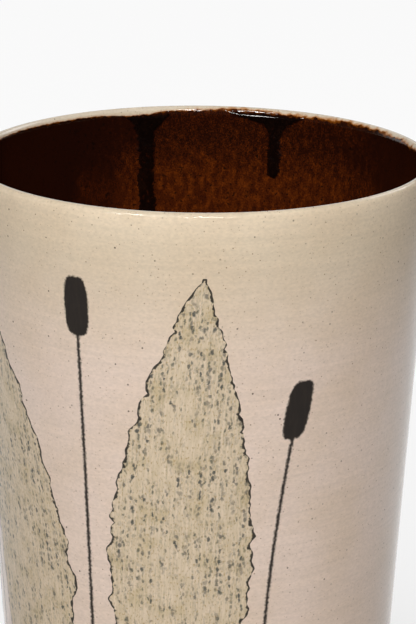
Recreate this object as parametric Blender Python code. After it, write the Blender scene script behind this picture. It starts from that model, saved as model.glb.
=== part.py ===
# Wheel-thrown stoneware vase: one clay body, its glaze coats, and the slip leaves and
# black reeds let into the outer glaze. Metres, +Z up, resting on z = 0.
# Angles go round the wall from the side facing -Y, and grow towards +X.
import math

import bmesh
import bpy

# Outer form of the glazed vase
HEIGHT = 0.230
RIM_RADIUS = 0.0846  # outer face of the wall where the lip starts to round over
BASE_RADIUS = 0.0729  # outer face of the wall, carried down to the table
FLARE = 1.10  # 1 is a straight cone, and more keeps the widening for the rim

# Wall and floor
LIP_THICKNESS = 0.0040
BASE_WALL_THICKNESS = 0.0065
FLOOR_CLAY_THICKNESS = 0.0056
CORNER_RADIUS = 0.014  # inside, between wall and floor

# Foot, left as bare clay
BARE_FOOT_HEIGHT = 0.0065
FOOT_BEVEL = 0.0016
FOOT_RING_WIDTH = 0.0085
FOOT_RECESS_DEPTH = 0.0030
FOOT_RECESS_SLOPE = 0.0015

# Glaze coats
OUTER_GLAZE_THICKNESS = 0.0005
LINER_GLAZE_THICKNESS = 0.0006
GLAZE_BREAK_BELOW_LIP = 0.0002  # the cream stops this far below the end of the lip's rounding
SEAM = 0.0003  # between any two pieces that meet

# Leaves of slip, side by side round the wall. Widths and leans are degrees of the wall.
FIRST_LEAF_ANGLE = -6.0
LEAF_SPACING = 8.5  # between the widest parts of neighbouring leaves
LEAF_BASE_HEIGHT = 0.024
LEAF_1_TIP_DEPTH = 0.022  # below the rim, as the others are
LEAF_2_TIP_DEPTH = 0.054
LEAF_3_TIP_DEPTH = 0.034
LEAF_4_TIP_DEPTH = 0.074
LEAF_5_TIP_DEPTH = 0.120
LEAVES = [  # depth of the tip, half width, lean of the tip
    (LEAF_1_TIP_DEPTH, 18.8, 7.0),
    (LEAF_2_TIP_DEPTH, 18.0, -8.0),
    (LEAF_3_TIP_DEPTH, 18.6, -4.0),
    (LEAF_4_TIP_DEPTH, 17.6, -7.5),
    (LEAF_5_TIP_DEPTH, 14.0, -3.0),
]
LEAF_WIDEST = 0.42  # share of the length where a leaf is widest
LEAF_FULLNESS = 0.85  # 1 is a plain sine outline, and less is fuller
LEAF_END_HALF_WIDTH = 0.0011

# Black reeds: one beside the first leaf, and the next ones midway between two leaves
REED_BASE_HEIGHT = 0.034
REED_1_TOP_DEPTH = 0.061  # below the rim, as the others are
REED_2_TOP_DEPTH = 0.025
REED_3_TOP_DEPTH = 0.047
REED_4_TOP_DEPTH = 0.055
REEDS = [  # depth of the top, lean of the top in degrees
    (REED_1_TOP_DEPTH, 9.0),
    (REED_2_TOP_DEPTH, -1.0),
    (REED_3_TOP_DEPTH, -4.0),
    (REED_4_TOP_DEPTH, -3.0),
]
STEM_HALF_WIDTH = 0.0006
REED_HEAD_LENGTH = 0.021
REED_HEAD_HALF_WIDTH = 0.0047
REED_HEAD_SQUARENESS = 3.0  # 2 is an ellipse, and more is squarer

# Runs of the inner glaze, each from a pool under the lip
LONG_RUN_LENGTH = 0.072
LONG_RUN_HALF_WIDTH = 0.0029
LONG_RUN_POOL_HALF_WIDTH = 0.0095
SHORT_RUN_LENGTH = 0.026
SHORT_RUN_HALF_WIDTH = 0.0030
SHORT_RUN_POOL_HALF_WIDTH = 0.0125
GLAZE_RUNS = {  # angle in degrees, length, half width, half width of its pool
    "glaze_run_long": (195.9, LONG_RUN_LENGTH, LONG_RUN_HALF_WIDTH, LONG_RUN_POOL_HALF_WIDTH),
    "glaze_run_short": (159.0, SHORT_RUN_LENGTH, SHORT_RUN_HALF_WIDTH, SHORT_RUN_POOL_HALF_WIDTH),
}
RUN_POOL_DEPTH = 0.0030
RUN_CREST_THICKNESS = 0.0009
RUN_EDGE_THICKNESS = 0.0003
RUN_END_HALF_WIDTH = 0.0006

# Mesh counts
ROUND_STEPS = 60
WALL_STEPS = 5
LIP_STEPS = 6
CORNER_STEPS = 4
LEAF_ROWS = 12
LEAF_COLUMNS = 6
STEM_ROWS = 4
HEAD_ROWS = 8
RUN_ROWS = 10
RUN_END_ROWS = 3
RUN_COLUMNS = 6
RUN_ROW_CROWDING = 1.6  # 1 spaces a run's rows evenly, and more crowds them into its pool
SHARP_ANGLE = math.radians(40)
POINT_MERGE = 1e-6

LIP_RADIUS = LIP_THICKNESS / 2
LIP_CENTRE_HEIGHT = HEIGHT - LIP_RADIUS
GLAZE_BREAK_HEIGHT = LIP_CENTRE_HEIGHT - GLAZE_BREAK_BELOW_LIP
CLAY_UNDER_OUTER = OUTER_GLAZE_THICKNESS + SEAM
CLAY_UNDER_LINER = LINER_GLAZE_THICKNESS + SEAM
FLOOR_HEIGHT = FOOT_RECESS_DEPTH + FLOOR_CLAY_THICKNESS + CLAY_UNDER_LINER
LINER_TOP_HEIGHT = GLAZE_BREAK_HEIGHT - SEAM

# Principled BSDF values: sRGB colour, roughness
FINISHES = {
    "bare_stoneware": ((0.72, 0.62, 0.50), 0.85),
    "cream_glaze": ((0.84, 0.77, 0.68), 0.25),
    "brown_liner_glaze": ((0.24, 0.10, 0.03), 0.15),
    "dark_glaze_run": ((0.07, 0.04, 0.03), 0.12),
    "cloth_pressed_slip": ((0.75, 0.69, 0.56), 0.35),
    "black_oxide": ((0.14, 0.12, 0.11), 0.45),
}


def linear(channel):
    """An sRGB channel as the linear value that a shader takes."""
    return channel / 12.92 if channel <= 0.04045 else ((channel + 0.055) / 1.055) ** 2.4


def make_material(name):
    colour, roughness = FINISHES[name]
    material = bpy.data.materials.new(name)
    material.use_nodes = True
    shader = material.node_tree.nodes["Principled BSDF"]
    shader.inputs["Base Color"].default_value = (*map(linear, colour), 1.0)
    shader.inputs["Roughness"].default_value = roughness
    shader.inputs["Metallic"].default_value = 0.0
    return material


def outer_radius(z):
    share = max(z, 0.0) / LIP_CENTRE_HEIGHT
    return BASE_RADIUS + (RIM_RADIUS - BASE_RADIUS) * share**FLARE


def inner_radius(z):
    share = (z - FLOOR_HEIGHT) / (LIP_CENTRE_HEIGHT - FLOOR_HEIGHT)
    thickness = BASE_WALL_THICKNESS + (LIP_THICKNESS - BASE_WALL_THICKNESS) * share
    return outer_radius(z) - thickness


def steps(start, end, count):
    return [start + (end - start) * i / count for i in range(count + 1)]


def outer_face(depth, bottom):
    """Points up the outside, the given depth under the glazed surface."""
    return [(outer_radius(z) - depth, z) for z in steps(bottom, LIP_CENTRE_HEIGHT, WALL_STEPS)]


def lip_arc(centre_radius, radius):
    """Points over the lip, from the outside to the inside."""
    angles = [math.pi * i / LIP_STEPS for i in range(1, LIP_STEPS)]
    return [
        (centre_radius + radius * math.cos(a), LIP_CENTRE_HEIGHT + radius * math.sin(a))
        for a in angles
    ]


def inner_face(depth, top):
    """Points down the inside and along the floor to the axis, the given depth under the glaze."""
    corner_height = FLOOR_HEIGHT + CORNER_RADIUS
    corner_centre = inner_radius(corner_height) - CORNER_RADIUS
    points = [(inner_radius(z) + depth, z) for z in steps(top, corner_height, WALL_STEPS)]
    for i in range(1, CORNER_STEPS + 1):
        angle = math.pi / 2 * i / CORNER_STEPS
        reach = CORNER_RADIUS + depth
        points.append((corner_centre + reach * math.cos(angle), corner_height - reach * math.sin(angle)))
    points.append((0.0, FLOOR_HEIGHT - depth))
    return points


def lathe(name, profile, finish):
    """Turns a closed profile of (radius, height) points round the Z axis."""
    shape = bmesh.new()
    points = [shape.verts.new((0.0, -radius, z)) for radius, z in profile]
    edges = []
    for start, end in zip(points, points[1:] + points[:1]):
        if start.co.y or end.co.y:
            edges.append(shape.edges.new((start, end)))
    bmesh.ops.spin(
        shape,
        geom=points + edges,
        cent=(0, 0, 0),
        axis=(0, 0, 1),
        angle=math.tau,
        steps=ROUND_STEPS,
        use_merge=True,
    )
    bmesh.ops.remove_doubles(shape, verts=shape.verts, dist=POINT_MERGE)
    bmesh.ops.recalc_face_normals(shape, faces=shape.faces)
    return add_object(name, shape, finish)


def add_object(name, shape, finish):
    mesh = bpy.data.meshes.new(name)
    shape.to_mesh(mesh)
    shape.free()
    mesh.shade_smooth()
    mesh.set_sharp_from_angle(angle=SHARP_ANGLE)
    if finish:
        mesh.materials.append(materials[finish])
    obj = bpy.data.objects.new(name, mesh)
    bpy.context.scene.collection.objects.link(obj)
    return obj


def wall_patch(name, rows, back_radius, front_radius, finish=None):
    """A thin plate bent round the wall. Each row is (height, angles across), and the two
    functions of height and share across give its faces' radii."""
    shape = bmesh.new()
    layers = []
    for radius in (back_radius, front_radius):
        layer = []
        for z, angles in rows:
            last = len(angles) - 1
            across = [2 * i / last - 1 for i in range(last + 1)]
            layer.append(
                [
                    shape.verts.new((radius(z, s) * math.sin(a), -radius(z, s) * math.cos(a), z))
                    for a, s in zip(angles, across)
                ]
            )
        layers.append(layer)
    row_count, column_count = len(rows), len(rows[0][1])
    for layer in layers:
        for i in range(row_count - 1):
            for j in range(column_count - 1):
                shape.faces.new((layer[i][j], layer[i][j + 1], layer[i + 1][j + 1], layer[i + 1][j]))
    rim = [(0, j) for j in range(column_count)]
    rim += [(i, column_count - 1) for i in range(1, row_count)]
    rim += [(row_count - 1, j) for j in range(column_count - 2, -1, -1)]
    rim += [(i, 0) for i in range(row_count - 2, 0, -1)]
    back, front = layers
    for (i, j), (k, m) in zip(rim, rim[1:] + rim[:1]):
        shape.faces.new((back[i][j], back[k][m], front[k][m], front[i][j]))
    bmesh.ops.recalc_face_normals(shape, faces=shape.faces)
    return add_object(name, shape, finish)


def across_row(z, middle, half_width, columns):
    """A row of a plate: its height, and its angles from edge to edge in radians."""
    return z, steps(middle - half_width, middle + half_width, columns)


def leaf_angles():
    """The middle of each leaf in degrees, from the first one round towards -X."""
    angles = [FIRST_LEAF_ANGLE]
    half_widths = [half_width for _, half_width, _ in LEAVES]
    for before, after in zip(half_widths, half_widths[1:]):
        angles.append(angles[-1] - before - LEAF_SPACING - after)
    return angles


def reed_angles():
    """The foot of each reed in degrees: before the first leaf, then after each leaf."""
    angles = leaf_angles()
    first = angles[0] + LEAVES[0][1] + LEAF_SPACING / 2
    return [first] + [angle - leaf[1] - LEAF_SPACING / 2 for angle, leaf in zip(angles, LEAVES)]


def leaf_rows(angle, leaf, grow):
    """Rows of a leaf, grown by a clearance all round."""
    tip_depth, half_width, lean = leaf
    length = HEIGHT - tip_depth - LEAF_BASE_HEIGHT
    shape_power = math.log(0.5) / math.log(LEAF_WIDEST)
    rows = []
    for share in steps(0.0, 1.0, LEAF_ROWS):
        z = LEAF_BASE_HEIGHT + length * share
        swell = max(math.sin(math.pi * share**shape_power), 0.0) ** LEAF_FULLNESS
        width = max(math.radians(half_width) * swell, LEAF_END_HALF_WIDTH / outer_radius(z))
        middle = math.radians(angle + lean * share**2)
        z_grown = z + grow * (2 * share - 1)
        rows.append(across_row(z_grown, middle, width + grow / outer_radius(z), LEAF_COLUMNS))
    return rows


def reed_rows(angle, reed, grow):
    """Rows of a reed: a thin stem, then its seed head, grown by a clearance all round."""
    top_depth, lean = reed
    top = HEIGHT - top_depth
    head_middle = top - REED_HEAD_LENGTH / 2
    places = []
    for z in steps(REED_BASE_HEIGHT - grow, top - REED_HEAD_LENGTH - grow, STEM_ROWS)[:-1]:
        places.append((z, STEM_HALF_WIDTH))
    power = 2 / REED_HEAD_SQUARENESS
    for turn in steps(0.0, math.pi, HEAD_ROWS):
        rise = -math.copysign(abs(math.cos(turn)) ** power, math.cos(turn))
        width = REED_HEAD_HALF_WIDTH * max(math.sin(turn), 0.0) ** power
        places.append((head_middle + (REED_HEAD_LENGTH / 2 + grow) * rise, max(width, STEM_HALF_WIDTH)))
    rows = []
    for z, half_width in places:
        share = (z - REED_BASE_HEIGHT) / (top - REED_BASE_HEIGHT)
        middle = math.radians(angle + lean * share**2)
        rows.append(across_row(z, middle, (half_width + grow) / outer_radius(z), 2))
    return rows


def run_rows(run):
    """Rows of a glaze run, from its pool under the lip down to its round end."""
    angle, length, half_width, pool_half_width = run
    straight = length - half_width
    places = []
    for share in steps(0.0, 1.0, RUN_ROWS):
        depth = straight * share**RUN_ROW_CROWDING
        pool = (pool_half_width - half_width) * math.exp(-depth / RUN_POOL_DEPTH)
        places.append((depth, half_width + pool))
    for turn in steps(0.0, math.pi / 2, RUN_END_ROWS)[1:]:
        width = max(half_width * math.cos(turn), RUN_END_HALF_WIDTH)
        places.append((straight + half_width * math.sin(turn), width))
    rows = []
    for depth, width in places:
        z = LINER_TOP_HEIGHT - depth
        rows.append(across_row(z, math.radians(angle), width / inner_radius(z), RUN_COLUMNS))
    return rows


def set_into_glaze(name, make_rows, angle, piece, glaze, finish):
    """Adds a plate flush with the outer glaze, and cuts its window in that glaze."""

    def back(z, across):
        return outer_radius(z) - OUTER_GLAZE_THICKNESS

    def front(z, across):
        return outer_radius(z)

    def cutter_back(z, across):
        return back(z, across) - OUTER_GLAZE_THICKNESS

    def cutter_front(z, across):
        return front(z, across) + OUTER_GLAZE_THICKNESS

    wall_patch(name, make_rows(angle, piece, 0.0), back, front, finish)
    cutter = wall_patch(name + "_window", make_rows(angle, piece, SEAM), cutter_back, cutter_front)
    cutter.hide_render = True
    cutter.display_type = "WIRE"
    window = glaze.modifiers.new(name + "_window", "BOOLEAN")
    window.operation = "DIFFERENCE"
    window.object = cutter


def add_run(name, run):
    """Adds a bead of dark glaze lying on the liner."""

    def back(z, across):
        return inner_radius(z) - SEAM

    def front(z, across):
        thickness = RUN_EDGE_THICKNESS + (RUN_CREST_THICKNESS - RUN_EDGE_THICKNESS) * (1 - across**2)
        return inner_radius(z) - SEAM - thickness

    wall_patch(name, run_rows(run), back, front, "dark_glaze_run")


def add_clay_body():
    inside = inner_face(CLAY_UNDER_LINER, LIP_CENTRE_HEIGHT)
    outside = outer_face(CLAY_UNDER_OUTER, BARE_FOOT_HEIGHT)
    lip_outer, lip_inner = outside[-1][0], inside[0][0]
    lip = lip_arc((lip_outer + lip_inner) / 2, (lip_outer - lip_inner) / 2)
    foot_radius = outer_radius(0.0) - CLAY_UNDER_OUTER
    ring_outer = foot_radius - FOOT_BEVEL
    ring_inner = ring_outer - FOOT_RING_WIDTH
    foot = [
        (0.0, FOOT_RECESS_DEPTH),
        (ring_inner - FOOT_RECESS_SLOPE, FOOT_RECESS_DEPTH),
        (ring_inner, 0.0),
        (ring_outer, 0.0),
        (foot_radius, FOOT_BEVEL),
    ]
    lathe("clay_body", foot + outside + lip + inside, "bare_stoneware")


def add_outer_glaze():
    lip_centre = RIM_RADIUS - LIP_RADIUS
    break_radius = inner_radius(GLAZE_BREAK_HEIGHT)
    face = outer_face(0.0, BARE_FOOT_HEIGHT) + lip_arc(lip_centre, LIP_RADIUS)
    face.append((lip_centre - LIP_RADIUS, LIP_CENTRE_HEIGHT))
    face.append((break_radius, GLAZE_BREAK_HEIGHT))
    back = outer_face(OUTER_GLAZE_THICKNESS, BARE_FOOT_HEIGHT)
    back += lip_arc(lip_centre, LIP_RADIUS - OUTER_GLAZE_THICKNESS)
    back.append((lip_centre - LIP_RADIUS + OUTER_GLAZE_THICKNESS, LIP_CENTRE_HEIGHT))
    back.append((break_radius + OUTER_GLAZE_THICKNESS, GLAZE_BREAK_HEIGHT))
    return lathe("outer_glaze", face + back[::-1], "cream_glaze")


def add_liner_glaze():
    face = inner_face(0.0, LINER_TOP_HEIGHT)
    back = inner_face(LINER_GLAZE_THICKNESS, LINER_TOP_HEIGHT)
    lathe("liner_glaze", face + back[::-1], "brown_liner_glaze")


for old in list(bpy.data.objects):
    bpy.data.objects.remove(old)
materials = {name: make_material(name) for name in FINISHES}

add_clay_body()
outer_glaze = add_outer_glaze()
add_liner_glaze()
for number, (angle, leaf) in enumerate(zip(leaf_angles(), LEAVES), 1):
    set_into_glaze(f"slip_leaf_{number}", leaf_rows, angle, leaf, outer_glaze, "cloth_pressed_slip")
for number, (angle, reed) in enumerate(zip(reed_angles(), REEDS), 1):
    set_into_glaze(f"black_reed_{number}", reed_rows, angle, reed, outer_glaze, "black_oxide")
for name, run in GLAZE_RUNS.items():
    add_run(name, run)
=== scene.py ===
import math

import bpy
from mathutils import Matrix, Vector


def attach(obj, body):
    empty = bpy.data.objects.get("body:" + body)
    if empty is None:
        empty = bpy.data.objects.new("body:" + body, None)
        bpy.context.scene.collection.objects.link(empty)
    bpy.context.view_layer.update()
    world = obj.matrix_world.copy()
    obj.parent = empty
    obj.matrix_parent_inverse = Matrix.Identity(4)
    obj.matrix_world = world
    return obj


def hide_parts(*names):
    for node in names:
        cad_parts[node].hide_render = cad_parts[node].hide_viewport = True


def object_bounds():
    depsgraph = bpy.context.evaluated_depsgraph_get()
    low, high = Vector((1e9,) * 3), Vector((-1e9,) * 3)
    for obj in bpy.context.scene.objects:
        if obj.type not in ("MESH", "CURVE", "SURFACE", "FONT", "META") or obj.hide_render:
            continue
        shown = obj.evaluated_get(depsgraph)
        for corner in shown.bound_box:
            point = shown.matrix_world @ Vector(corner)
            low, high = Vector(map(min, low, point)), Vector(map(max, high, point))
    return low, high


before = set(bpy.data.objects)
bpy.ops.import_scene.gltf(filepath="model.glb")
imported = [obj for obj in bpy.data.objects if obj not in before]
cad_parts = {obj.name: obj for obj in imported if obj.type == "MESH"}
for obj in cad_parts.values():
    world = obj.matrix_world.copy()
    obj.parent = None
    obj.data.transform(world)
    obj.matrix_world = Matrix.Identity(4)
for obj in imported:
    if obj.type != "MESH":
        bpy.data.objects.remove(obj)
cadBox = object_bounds()

# The vase as it was thrown, in metres, with its foot on z = 0.
# Angles go round the wall from the side facing -Y, and grow towards +X.
vase = {
    "height": cadBox[1].z,
    "rimRadius": cadBox[1].x,
    "baseRadius": 0.0729,
    "flare": 1.10,  # 1 is a straight cone
    "spare": 0.00030,  # by which the cone would pass the rim, if it didn't turn in at the shoulder
    "shoulderHeight": 0.011,
    "shoulderDepth": 0.00038,
    "lipThickness": 0.0040,
    "outerLip": 0.0019,  # radius of its outer rounding
    "innerLipDrop": 0.0036,  # and how far down it is rounded inside
    "baseWall": 0.0065,
    "floorTop": 0.0095,
    "cornerRadius": 0.014,
    "bareFoot": 0.0065,
}
lipRadius = vase["outerLip"]
lipHeight = vase["height"] - lipRadius
innerLipHeight = vase["height"] - vase["innerLipDrop"]
mm = 0.001


def wallRadius(z):
    share = max(z, 0.0) / lipHeight
    growth = vase["rimRadius"] + vase["spare"] - vase["baseRadius"]
    shoulder = max((z - lipHeight) / vase["shoulderHeight"] + 1, 0.0)
    return vase["baseRadius"] + growth * share ** vase["flare"] - vase["shoulderDepth"] * shoulder**2


lipCentre = wallRadius(lipHeight) - lipRadius
rimTop = vase["height"] / mm  # the finishes are worked out in millimetres
rimMiddle = lipCentre / mm


def insideRadius(z):
    share = (min(z, innerLipHeight) - vase["floorTop"]) / (lipHeight - vase["floorTop"])
    wall = vase["baseWall"] + (vase["lipThickness"] - vase["baseWall"]) * share
    radius = wallRadius(min(z, innerLipHeight)) - wall
    if z > innerLipHeight:
        rise = min((z - innerLipHeight) / vase["innerLipDrop"], 1.0)
        radius = lipCentre - (lipCentre - radius) * math.sqrt(1 - rise**2)
    return radius


def lipPoint(turn, proud=0.0):
    # turn goes round the lip in degrees, from 0 outside over the top to 180 inside
    across, up, height = lipRadius, lipRadius, lipHeight
    if turn > 90:
        across, up, height = lipCentre - insideRadius(innerLipHeight), vase["innerLipDrop"], innerLipHeight
    cosine, sine = math.cos(math.radians(turn)), math.sin(math.radians(turn))
    normal = Vector((cosine / across, sine / up)).normalized() * proud
    return lipCentre + across * cosine + normal.x, height + up * sine + normal.y


def spread(start, end, count):
    return [start + (end - start) * i / count for i in range(count + 1)]


def linePoints(start, end, count):
    return list(zip(spread(start[0], end[0], count), spread(start[1], end[1], count)))


def arcPoints(centre, radius, startTurn, endTurn, count):
    turns = [math.radians(turn) for turn in spread(startTurn, endTurn, count)]
    return [(centre[0] + radius * math.cos(t), centre[1] + radius * math.sin(t)) for t in turns]


def hexColour(text):
    channels = [int(text[i : i + 2], 16) / 255 for i in (1, 3, 5)]
    linear = [c / 12.92 if c <= 0.04045 else ((c + 0.055) / 1.055) ** 2.4 for c in channels]
    return (*linear, 1.0)


def addNode(tree, kind, inputs=(), **settings):
    # inputs are numbers, hex colours, nodes or sockets, in the order of the node's sockets or by name
    node = tree.nodes.new(kind)
    for name, value in settings.items():
        setattr(node, name, value)
    shown = [socket for socket in node.inputs if socket.enabled]
    if isinstance(inputs, dict):
        pairs = [(next(s for s in shown if s.name == name), value) for name, value in inputs.items()]
    else:
        pairs = zip(shown, inputs)
    for socket, value in pairs:
        if isinstance(value, bpy.types.Node):
            value = next(output for output in value.outputs if output.enabled)
        if isinstance(value, bpy.types.NodeSocket):
            tree.links.new(value, socket)
        elif value is not None:
            isColour = isinstance(value, str) and socket.type == "RGBA"
            socket.default_value = hexColour(value) if isColour else value
    return node


smoothStep = {"interpolation_type": "SMOOTHSTEP"}  # for a Map Range
colourMix = {"data_type": "RGBA"}  # for a Mix


def newMaterial(name):
    material = bpy.data.materials.new(name)
    material.use_nodes = True
    material.node_tree.nodes.clear()
    return material, material.node_tree


def addMillimetres(tree):
    place = addNode(tree, "ShaderNodeTexCoord").outputs["Object"]
    return addNode(tree, "ShaderNodeVectorMath", [place, 1000.0], operation="SCALE")


def addSurface(tree, colour, roughness, height, ior):
    # height is in millimetres
    bump = addNode(tree, "ShaderNodeBump", {"Distance": mm, "Height": height})
    values = {"Base Color": colour, "Roughness": roughness, "IOR": ior, "Normal": bump}
    shader = addNode(tree, "ShaderNodeBsdfPrincipled", values)
    addNode(tree, "ShaderNodeOutputMaterial", {"Surface": shader})


def addCloud(tree, place, size, detail, low, high):
    # a noise with features of a size in millimetres, spread out over a range of values
    if not isinstance(size, tuple):
        size = (size, size, size)
    scale = tuple(1 / s for s in size)
    stretched = addNode(tree, "ShaderNodeVectorMath", [place, scale], operation="MULTIPLY")
    cloud = addNode(tree, "ShaderNodeTexNoise", {"Vector": stretched, "Scale": 1.0, "Detail": detail})
    return addNode(tree, "ShaderNodeMapRange", [cloud, 0.3, 0.7, low, high])


def addCurve(tree, value, points):
    # a smooth curve through points, level beyond the first and the last
    low, high = points[0][0], points[-1][0]
    tallest = max(y for _, y in points)
    along = addNode(tree, "ShaderNodeMapRange", [value, low, high, 0.0, 1.0])
    node = addNode(tree, "ShaderNodeFloatCurve", {"Value": along})
    curve = node.mapping.curves[0]
    for point, (x, y) in zip(curve.points, (points[0], points[-1])):
        point.location = ((x - low) / (high - low), y / tallest)
    for x, y in points[1:-1]:
        curve.points.new((x - low) / (high - low), y / tallest)
    node.mapping.update()
    return addNode(tree, "ShaderNodeMath", [node, tallest], operation="MULTIPLY")


def addRadius(tree, place):
    flat = addNode(tree, "ShaderNodeVectorMath", [place, (1.0, 1.0, 0.0)], operation="MULTIPLY")
    return addNode(tree, "ShaderNodeVectorMath", [flat], operation="LENGTH").outputs["Value"]


# Cream glaze: a stoneware glaze that the vase was dipped in. It gives a smooth, warm cream, pinker
# down the wall, with fine brown specks where iron in the clay bleeds through. It ripples on the lip.
# A pale band along the lip's crest is a painted highlight, strongest on the side facing -Y, and
# light on the top of the lip is painted in as extra brightness.
creamGlaze = {
    "upper": "#E3D3BB",
    "lower": "#E2D0C4",
    "blush": "#CFB99C",
    "blushSize": 24.0,  # millimetres, as all sizes and places in the finishes are
    "blushStrength": 0.30,
    "upperFrom": 165.0,
    "upperTo": 222.0,
    # brightness by height: the rise towards the lip is painted light falling on its top
    "heightTonesAndLipLight": [  # height and brightness
        (165, 1.0),
        (190, 0.95),
        (205, 0.90),
        (216, 0.91),
        (223, 0.965),
        (229, 1.09),
    ],
    "mottleSize": (1.3, 1.3, 0.8),
    "mottle": 0.058,  # share of the brightness, as ring is
    "ringSize": (40.0, 40.0, 1.4),
    "ring": 0.033,
    "roughness": 0.11,
    "ior": 1.5,
    "peelSize": 1.9,
    "peelDepth": 0.010,
    "rippleDepth": 0.11,  # the peel's depth on the lip
    "rippleDrops": (2.5, 1.0),  # below the rim, where the ripple starts and is full
    "rippleSides": (25.0, 50.0),  # across the vase, where it starts to fade and has faded
    "rippleLeft": 0.25,  # share of it that is left there
    # a painted highlight: the pale colour of the bright reflection along the lip's crest
    "paintedCrestHighlight": "#FBF4E8",
    "paintedCrestHighlightFade": (-0.1, 0.4),  # outwards from the middle of the lip
    "paintedCrestHighlightDrops": (1.6, 0.9),  # below the rim, where it starts and is full
    "paintedCrestHighlightSides": (-40.0, 20.0),  # places on Y that have the next two strengths
    "paintedCrestHighlightStrengths": (1.0, 0.25),
    "specks": [  # cell, largest radius, strength, colour
        (1.3, 0.28, 0.55, "#A98B6A"),
        (2.2, 0.34, 0.85, "#80644A"),
        (4.6, 0.46, 1.00, "#3E2C20"),
    ],
    "speckCore": 0.4,  # share of a speck's radius that has its full strength
}


def addPeel(tree, place):
    # the slight ripple of a glaze's surface, which is stronger on the lip
    parts = addNode(tree, "ShaderNodeSeparateXYZ", [place])
    start, full = (rimTop - drop for drop in creamGlaze["rippleDrops"])
    onLip = addNode(tree, "ShaderNodeMapRange", [parts.outputs["Z"], start, full, 0.0, 1.0], **smoothStep)
    middle = addNode(tree, "ShaderNodeMath", [parts.outputs["X"]], operation="ABSOLUTE")
    middle = [middle, *creamGlaze["rippleSides"], 1.0, creamGlaze["rippleLeft"]]
    middle = addNode(tree, "ShaderNodeMapRange", middle, **smoothStep)
    onLip = addNode(tree, "ShaderNodeMath", [onLip, middle], operation="MULTIPLY")
    depths = creamGlaze["peelDepth"], creamGlaze["rippleDepth"]
    depth = addNode(tree, "ShaderNodeMapRange", [onLip, 0.0, 1.0, *depths])
    peel = addCloud(tree, place, creamGlaze["peelSize"], 1.0, 0.0, 1.0)
    return addNode(tree, "ShaderNodeMath", [peel, depth], operation="MULTIPLY")


def addCreamGlaze(tree, place):
    parts = addNode(tree, "ShaderNodeSeparateXYZ", [place])
    up = parts.outputs["Z"]
    rise = [up, creamGlaze["upperFrom"], creamGlaze["upperTo"], 0.0, 1.0]
    rise = addNode(tree, "ShaderNodeMapRange", rise, **smoothStep)
    colour = addNode(tree, "ShaderNodeMix", [rise, creamGlaze["lower"], creamGlaze["upper"]], **colourMix)
    # brightness by height, with painted light brightening the top of the lip
    toneAndLipLight = addCurve(tree, up, creamGlaze["heightTonesAndLipLight"])
    colour = addNode(tree, "ShaderNodeVectorMath", [colour, toneAndLipLight], operation="SCALE")
    blush = addCloud(tree, place, creamGlaze["blushSize"], 3.0, -0.3, 1.0)
    blush = addNode(tree, "ShaderNodeMath", [blush, creamGlaze["blushStrength"]], operation="MULTIPLY")
    colour = addNode(tree, "ShaderNodeMix", [blush, colour, creamGlaze["blush"]], **colourMix)

    # a painted highlight on the inner side of the lip's crest, strongest on the side facing -Y
    fade = [rimMiddle + offset for offset in creamGlaze["paintedCrestHighlightFade"]]
    paintedCrestHighlight = addNode(tree, "ShaderNodeMapRange", [addRadius(tree, place), *fade, 1.0, 0.0], **smoothStep)
    strength = [parts.outputs["Y"], *creamGlaze["paintedCrestHighlightSides"], *creamGlaze["paintedCrestHighlightStrengths"]]
    strength = addNode(tree, "ShaderNodeMapRange", strength, **smoothStep)
    paintedCrestHighlight = addNode(tree, "ShaderNodeMath", [paintedCrestHighlight, strength], operation="MULTIPLY")
    start, full = (rimTop - drop for drop in creamGlaze["paintedCrestHighlightDrops"])
    onTop = addNode(tree, "ShaderNodeMapRange", [up, start, full, 0.0, 1.0], **smoothStep)
    paintedCrestHighlight = addNode(tree, "ShaderNodeMath", [paintedCrestHighlight, onTop], operation="MULTIPLY")
    colour = addNode(tree, "ShaderNodeMix", [paintedCrestHighlight, colour, creamGlaze["paintedCrestHighlight"]], **colourMix)

    for name in ("mottle", "ring"):
        amount = creamGlaze[name]
        shade = addCloud(tree, place, creamGlaze[name + "Size"], 2.0, 1 - amount, 1 + amount)
        colour = addNode(tree, "ShaderNodeVectorMath", [colour, shade], operation="SCALE")
    for cell, radius, strength, tint in creamGlaze["specks"]:
        grit = addNode(tree, "ShaderNodeTexVoronoi", {"Vector": place, "Scale": 1 / cell})
        chance = addNode(tree, "ShaderNodeSeparateColor", [grit.outputs["Color"]])
        core = creamGlaze["speckCore"] * radius / cell
        spot = [grit.outputs["Distance"], core, radius / cell, strength, 0.0]
        spot = addNode(tree, "ShaderNodeMapRange", spot, **smoothStep)
        spot = addNode(tree, "ShaderNodeMath", [spot, chance], operation="MULTIPLY")
        colour = addNode(tree, "ShaderNodeMix", [spot, colour, tint], **colourMix)
    return colour, creamGlaze["roughness"], addPeel(tree, place)
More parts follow.
